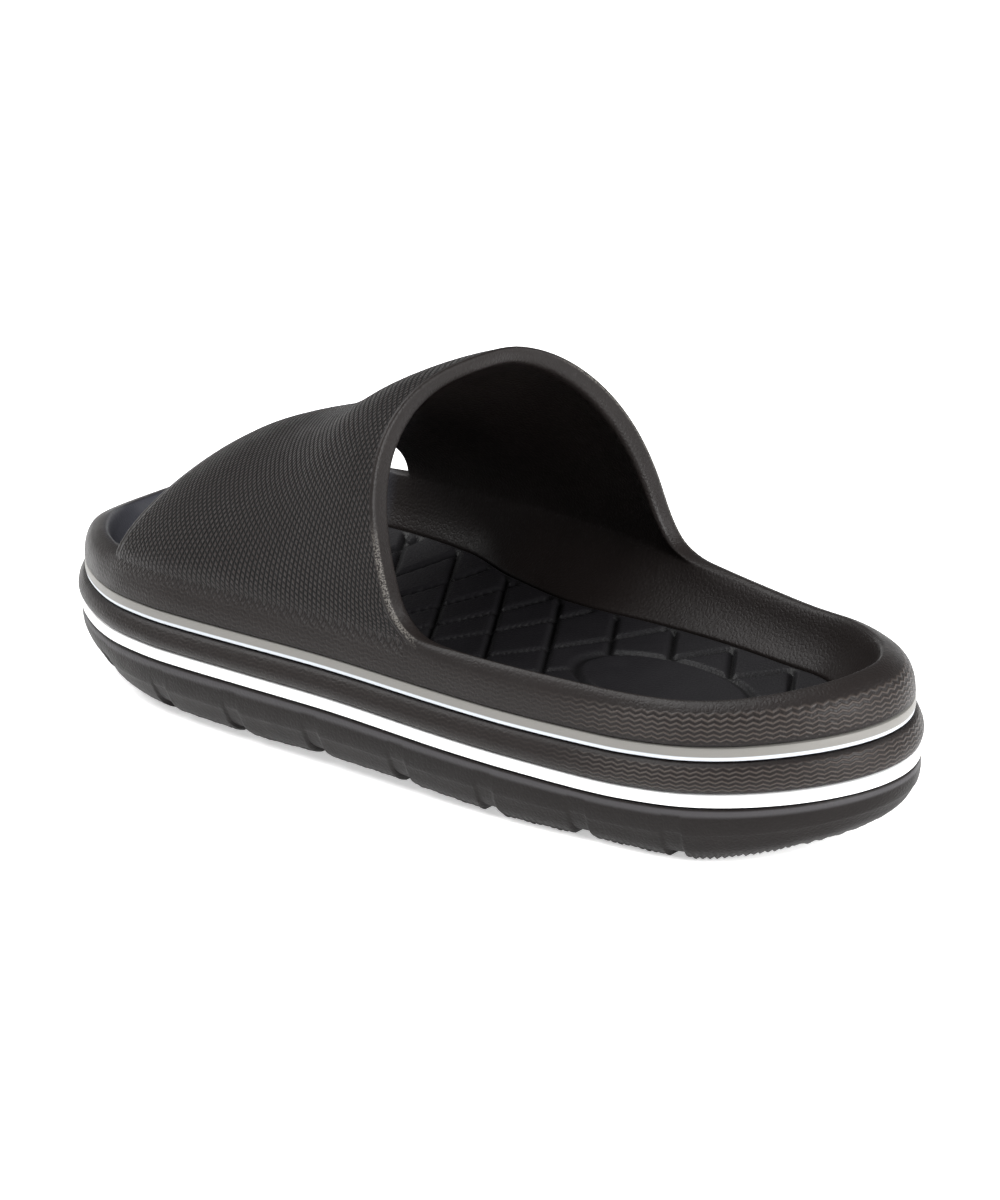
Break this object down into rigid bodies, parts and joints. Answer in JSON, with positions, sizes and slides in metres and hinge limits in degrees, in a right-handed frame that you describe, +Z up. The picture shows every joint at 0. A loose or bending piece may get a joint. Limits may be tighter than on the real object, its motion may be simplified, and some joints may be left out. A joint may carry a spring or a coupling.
{
  "type": "sport slide sandal",
  "caption": "Left foam slide with a moulded strap and foot cup, two colour stripes round the sole, cross grooves in the tread and a quilted footbed.",
  "frame": {"origin": "centre of the shoe's outline, on the plane it stands on", "axes": "+X towards the inner side of the foot, +Y towards the toe, +Z up"},
  "size_m": [0.1094, 0.271, 0.102],
  "materials": {
    "outsole_foam": "matte, faint leather grain",
    "white_foam": "satin",
    "midsole_foam": "matte, fine wave lines",
    "grey_foam": "satin",
    "upper_foam": "matte, fine diamond knurl on the strap",
    "footbed_foam": "matte, quilted grooves"
  },
  "bodies": {
    "root": {"outsole": "outsole_foam", "white_stripe": "white_foam", "midsole": "midsole_foam", "grey_stripe": "grey_foam", "upper": "upper_foam", "insole": "footbed_foam"}
  },
  "joints": []
}
